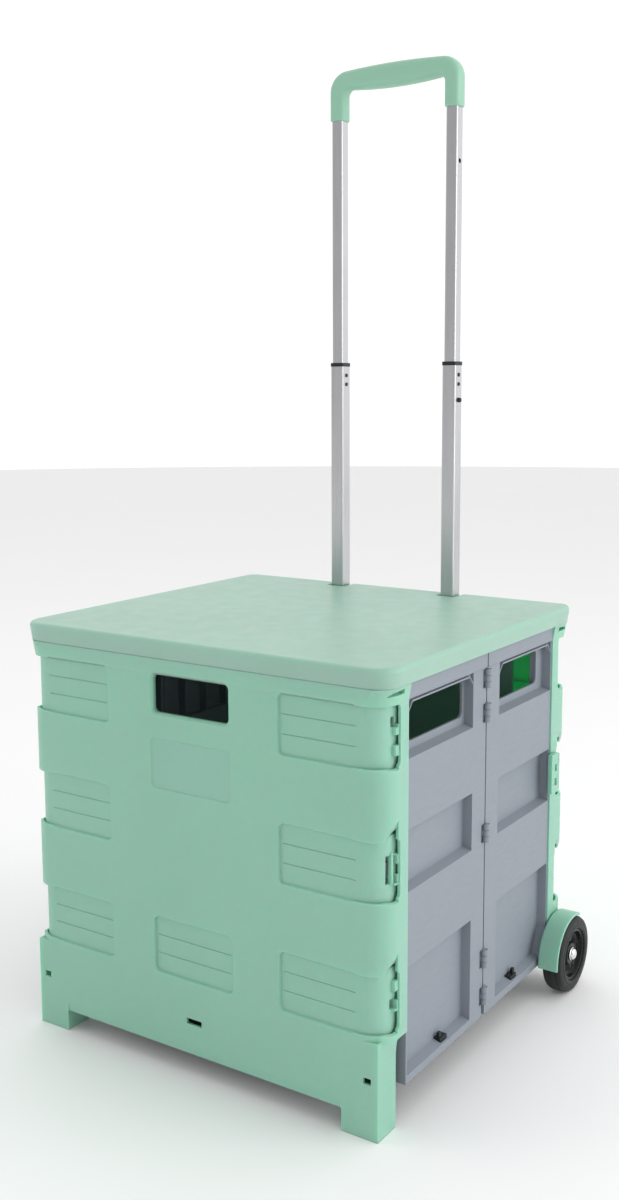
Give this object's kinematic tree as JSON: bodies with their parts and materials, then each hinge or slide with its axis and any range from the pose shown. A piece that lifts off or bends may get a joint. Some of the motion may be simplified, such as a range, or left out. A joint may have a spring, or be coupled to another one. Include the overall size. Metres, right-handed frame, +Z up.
{
  "type": "folding shopping cart",
  "caption": "Folding crate trolley with a flat lift-off lid, hinged side walls, two rear wheels and a telescopic U-shaped pull handle.",
  "frame": {"origin": "on the floor, under the middle of the whole cart's bounding box", "axes": "+Z up along the handle, +X to the cart's right seen from the front, +Y from the front tray to the handle side"},
  "size_m": [0.463, 0.4, 0.987],
  "materials": {
    "mint_plastic": "fine moulded texture, mint green polypropylene",
    "lid_plastic": "satin moulded polypropylene, light mint green",
    "grip_plastic": "satin moulded, mint green",
    "grey_plastic": "fine moulded texture, lilac grey polypropylene",
    "floor_plastic": "dark grey moulded",
    "dark_plastic": "black moulded nylon",
    "tube_aluminium": "satin anodised extrusion",
    "steel": "zinc-plated",
    "dark_steel": "blackened steel",
    "tyre_rubber": "matt solid rubber",
    "hub_plastic": "semi-gloss black",
    "cap_chrome": "plated push-on cap"
  },
  "bodies": {
    "rear_frame": {"rear_panel": "mint_plastic", "rear_inner_panel": "mint_plastic", "rear_hinge_pins": "steel", "outer_tube_left": "tube_aluminium", "outer_tube_right": "tube_aluminium", "outer_collars": "dark_plastic", "tube_end_plugs": "dark_plastic", "tube_clamps": "dark_plastic", "clamp_screws": "steel", "latch_pins": "steel", "axle_stubs": "steel", "axle_caps": "cap_chrome", "axle_washers": "steel"},
    "right_rear_wall": {"side_rear_right": "grey_plastic", "side_tab_rear_right": "dark_plastic", "mid_hinge_pins_right": "steel"},
    "right_front_wall": {"side_front_right": "grey_plastic", "side_tab_front_right": "dark_plastic"},
    "left_rear_wall": {"side_rear_left": "grey_plastic", "side_tab_rear_left": "dark_plastic", "mid_hinge_pins_left": "steel"},
    "left_front_wall": {"side_front_left": "grey_plastic", "side_tab_front_left": "dark_plastic"},
    "front_frame": {"front_panel": "mint_plastic", "front_hinge_pins": "steel", "floor_hinge_pins": "steel"},
    "floor": {"floor_panel": "floor_plastic"},
    "lid": {"lid": "lid_plastic"},
    "latch_right_body": {"latch_right": "mint_plastic"},
    "latch_left_body": {"latch_left": "mint_plastic"},
    "handle_middle": {"middle_tube_left": "tube_aluminium", "middle_tube_right": "tube_aluminium", "middle_collars": "dark_plastic", "middle_glides": "dark_plastic", "joint_rivets": "dark_steel"},
    "handle_top": {"inner_tube_left": "tube_aluminium", "inner_tube_right": "tube_aluminium", "inner_glides": "dark_plastic", "handle_grip": "grip_plastic"},
    "button_right": {"release_button_right": "dark_steel"},
    "button_left": {"release_button_left": "dark_steel"},
    "wheel_right": {"wheel_tyre_right": "tyre_rubber", "wheel_hub_right": "hub_plastic"},
    "wheel_left": {"wheel_tyre_left": "tyre_rubber", "wheel_hub_left": "hub_plastic"}
  },
  "joints": [
    {"name": "side_fold", "type": "hinge", "parent": "rear_frame", "child": "right_rear_wall", "pos_m": [0.1895, 0.1582, 0.2], "axis": [0, 0, 1], "range_deg": [-90, 0]},
    {"name": "right_mid_fold", "type": "hinge", "parent": "right_rear_wall", "child": "right_front_wall", "pos_m": [0.2055, -0.0073, 0.2], "axis": [0, 0, 1], "range_deg": [0, 180]},
    {"name": "right_front_fold", "type": "hinge", "parent": "right_front_wall", "child": "front_frame", "pos_m": [0.1895, -0.1728, 0.2], "axis": [0, 0, 1], "range_deg": [-90, 0]},
    {"name": "left_rear_fold", "type": "hinge", "parent": "rear_frame", "child": "left_rear_wall", "pos_m": [-0.1895, 0.1582, 0.2], "axis": [0, 0, 1], "range_deg": [0, 90]},
    {"name": "left_mid_fold", "type": "hinge", "parent": "left_rear_wall", "child": "left_front_wall", "pos_m": [-0.2055, -0.0073, 0.2], "axis": [0, 0, 1], "range_deg": [-180, 0]},
    {"name": "floor_lift", "type": "hinge", "parent": "front_frame", "child": "floor", "pos_m": [0, -0.1853, 0.0325], "axis": [1, 0, 0], "range_deg": [0, 90]},
    {"name": "lid_lift", "type": "slide", "parent": "rear_frame", "child": "lid", "axis": [0, 0, -1], "range_m": [-0.2, 0]},
    {"name": "latch_right_turn", "type": "hinge", "parent": "rear_frame", "child": "latch_right_body", "pos_m": [0.2085, 0.1527, 0.24], "axis": [0, 0, 1], "range_deg": [0, 100]},
    {"name": "latch_left_turn", "type": "hinge", "parent": "rear_frame", "child": "latch_left_body", "pos_m": [-0.2085, 0.1527, 0.24], "axis": [0, 0, -1], "range_deg": [0, 100]},
    {"name": "handle_middle_slide", "type": "slide", "parent": "rear_frame", "child": "handle_middle", "axis": [0, 0, -1], "range_m": [0, 0.225]},
    {"name": "handle_top_slide", "type": "slide", "parent": "handle_middle", "child": "handle_top", "axis": [0, 0, -1], "range_m": [0, 0.25]},
    {"name": "button_right_press", "type": "slide", "parent": "handle_middle", "child": "button_right", "axis": [-1, 0, 0], "range_m": [0, 0.002], "stiffness_N_per_m": 500},
    {"name": "button_left_press", "type": "slide", "parent": "handle_middle", "child": "button_left", "axis": [1, 0, 0], "range_m": [0, 0.002], "stiffness_N_per_m": 500},
    {"name": "wheel_right_spin", "type": "hinge", "parent": "rear_frame", "child": "wheel_right", "pos_m": [0.219, 0.1603, 0.04], "axis": [1, 0, 0], "continuous": true},
    {"name": "wheel_left_spin", "type": "hinge", "parent": "rear_frame", "child": "wheel_left", "pos_m": [-0.219, 0.1603, 0.04], "axis": [1, 0, 0], "continuous": true}
  ],
  "couplings": [
    {"joint": "right_mid_fold", "follows": "side_fold", "ratio": -2},
    {"joint": "right_front_fold", "follows": "side_fold", "ratio": 1},
    {"joint": "left_rear_fold", "follows": "side_fold", "ratio": -1},
    {"joint": "left_mid_fold", "follows": "side_fold", "ratio": 2}
  ]
}
